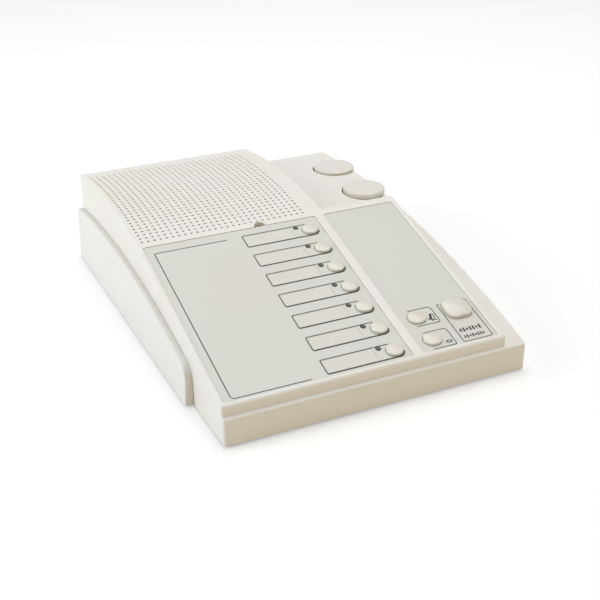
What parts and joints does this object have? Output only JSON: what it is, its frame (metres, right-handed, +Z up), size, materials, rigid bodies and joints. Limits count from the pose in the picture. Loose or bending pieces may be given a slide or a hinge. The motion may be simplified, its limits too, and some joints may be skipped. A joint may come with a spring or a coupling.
{
  "type": "desk intercom",
  "caption": "Wedge-shaped desk intercom: sloping key deck with call keys and a talk key, perforated loudspeaker block behind it and thumb knobs on the low right shoulder.",
  "frame": {"origin": "middle of the outline at the height of the surface it stands on, under the rubber feet", "axes": "+X to the right as the user faces the keys, +Y from the user to the rear wall, +Z up"},
  "size_m": [0.177, 0.24, 0.0601],
  "materials": {
    "cover_plastic": "fine-grained moulded ivory plastic, faintly yellowed",
    "base_plastic": "fine-grained moulded ivory plastic, a shade paler",
    "key_plastic": "smooth ivory plastic with finger polish",
    "fascia_plastic": "satin pale grey plastic sheet",
    "strip_card": "pale card",
    "lamp_plastic": "dark tinted lamp lens, unlit",
    "switch_plastic": "black moulded plastic",
    "plunger_plastic": "red moulded plastic",
    "board_laminate": "tan paper laminate with tinned tracks",
    "foot_rubber": "dull black rubber",
    "grommet_rubber": "dull black rubber",
    "zinc_steel": "zinc-plated steel",
    "basket_steel": "pressed plated steel",
    "pot_metal": "plated steel",
    "nut_brass": "nickel-worn brass",
    "can_aluminium": "drawn aluminium",
    "core_steel": "varnished transformer laminations",
    "magnet_ferrite": "sintered ferrite",
    "cone_paper": "pressed black paper pulp",
    "gasket_felt": "grey felt",
    "chip_epoxy": "black epoxy",
    "terminal_plastic": "green moulded plastic",
    "ribbon_sleeve": "grey soft insulation",
    "print_ink": "screen-printed near-black ink on the fascia plates"
  },
  "bodies": {
    "case": {"upper_cover": "cover_plastic", "base_tray": "base_plastic", "rubber_feet": "foot_rubber", "case_screws": "zinc_steel", "left_fascia": "fascia_plastic", "right_fascia": "fascia_plastic", "name_strips": "strip_card", "call_switches": "switch_plastic", "function_switches": "switch_plastic", "call_lamps": "lamp_plastic", "key_board": "board_laminate", "key_board_screws": "zinc_steel", "microphone_capsule": "can_aluminium", "microphone_grommet": "grommet_rubber", "speaker_gasket": "gasket_felt", "speaker_basket": "basket_steel", "speaker_cone": "cone_paper", "speaker_magnet": "magnet_ferrite", "speaker_clips": "basket_steel", "speaker_clip_screws": "zinc_steel", "front_pot_body": "pot_metal", "rear_pot_body": "pot_metal", "pot_nuts": "nut_brass", "main_board": "board_laminate", "main_board_screws": "zinc_steel", "chips": "chip_epoxy", "capacitors": "can_aluminium", "transformer": "core_steel", "terminal_block": "terminal_plastic", "terminal_screws": "zinc_steel", "ribbon_socket": "chip_epoxy", "ribbon": "ribbon_sleeve", "speaker_leads": "ribbon_sleeve", "inlet_grommet": "grommet_rubber"},
    "call_key_1_body": {"call_key_1": "key_plastic", "call_key_1_plunger": "plunger_plastic"},
    "call_key_2_body": {"call_key_2": "key_plastic", "call_key_2_plunger": "plunger_plastic"},
    "call_key_3_body": {"call_key_3": "key_plastic", "call_key_3_plunger": "plunger_plastic"},
    "call_key_4_body": {"call_key_4": "key_plastic", "call_key_4_plunger": "plunger_plastic"},
    "call_key_5_body": {"call_key_5": "key_plastic", "call_key_5_plunger": "plunger_plastic"},
    "call_key_6_body": {"call_key_6": "key_plastic", "call_key_6_plunger": "plunger_plastic"},
    "call_key_7_body": {"call_key_7": "key_plastic", "call_key_7_plunger": "plunger_plastic"},
    "bell_key_body": {"bell_key": "key_plastic", "bell_key_plunger": "plunger_plastic"},
    "end_key_body": {"end_key": "key_plastic", "end_key_plunger": "plunger_plastic"},
    "talk_key_body": {"talk_key": "key_plastic", "talk_key_plunger": "plunger_plastic"},
    "front_knob_body": {"front_knob": "key_plastic", "front_pot_shaft": "pot_metal"},
    "rear_knob_body": {"rear_knob": "key_plastic", "rear_pot_shaft": "pot_metal"}
  },
  "joints": [
    {"name": "call_key_1_press", "type": "slide", "parent": "case", "child": "call_key_1_body", "axis": [0, 0.2672, -0.9636], "range_m": [0, 0.001], "stiffness_N_per_m": 300},
    {"name": "call_key_2_press", "type": "slide", "parent": "case", "child": "call_key_2_body", "axis": [0, 0.2672, -0.9636], "range_m": [0, 0.001], "stiffness_N_per_m": 300},
    {"name": "call_key_3_press", "type": "slide", "parent": "case", "child": "call_key_3_body", "axis": [0, 0.2672, -0.9636], "range_m": [0, 0.001], "stiffness_N_per_m": 300},
    {"name": "call_key_4_press", "type": "slide", "parent": "case", "child": "call_key_4_body", "axis": [0, 0.2672, -0.9636], "range_m": [0, 0.001], "stiffness_N_per_m": 300},
    {"name": "call_key_5_press", "type": "slide", "parent": "case", "child": "call_key_5_body", "axis": [0, 0.2672, -0.9636], "range_m": [0, 0.001], "stiffness_N_per_m": 300},
    {"name": "call_key_6_press", "type": "slide", "parent": "case", "child": "call_key_6_body", "axis": [0, 0.2672, -0.9636], "range_m": [0, 0.001], "stiffness_N_per_m": 300},
    {"name": "call_key_7_press", "type": "slide", "parent": "case", "child": "call_key_7_body", "axis": [0, 0.2672, -0.9636], "range_m": [0, 0.001], "stiffness_N_per_m": 300},
    {"name": "bell_key_press", "type": "slide", "parent": "case", "child": "bell_key_body", "axis": [0, 0.2672, -0.9636], "range_m": [0, 0.001], "stiffness_N_per_m": 300},
    {"name": "end_key_press", "type": "slide", "parent": "case", "child": "end_key_body", "axis": [0, 0.2672, -0.9636], "range_m": [0, 0.001], "stiffness_N_per_m": 300},
    {"name": "talk_key_press", "type": "slide", "parent": "case", "child": "talk_key_body", "axis": [0, 0.2672, -0.9636], "range_m": [0, 0.001], "stiffness_N_per_m": 300},
    {"name": "front_knob_turn", "type": "hinge", "parent": "case", "child": "front_knob_body", "pos_m": [0.0739, 0.0416, 0.0476], "axis": [0, 0, 1], "range_deg": [-150, 150]},
    {"name": "rear_knob_turn", "type": "hinge", "parent": "case", "child": "rear_knob_body", "pos_m": [0.0739, 0.0831, 0.0476], "axis": [0, 0, 1], "range_deg": [-150, 150]}
  ]
}
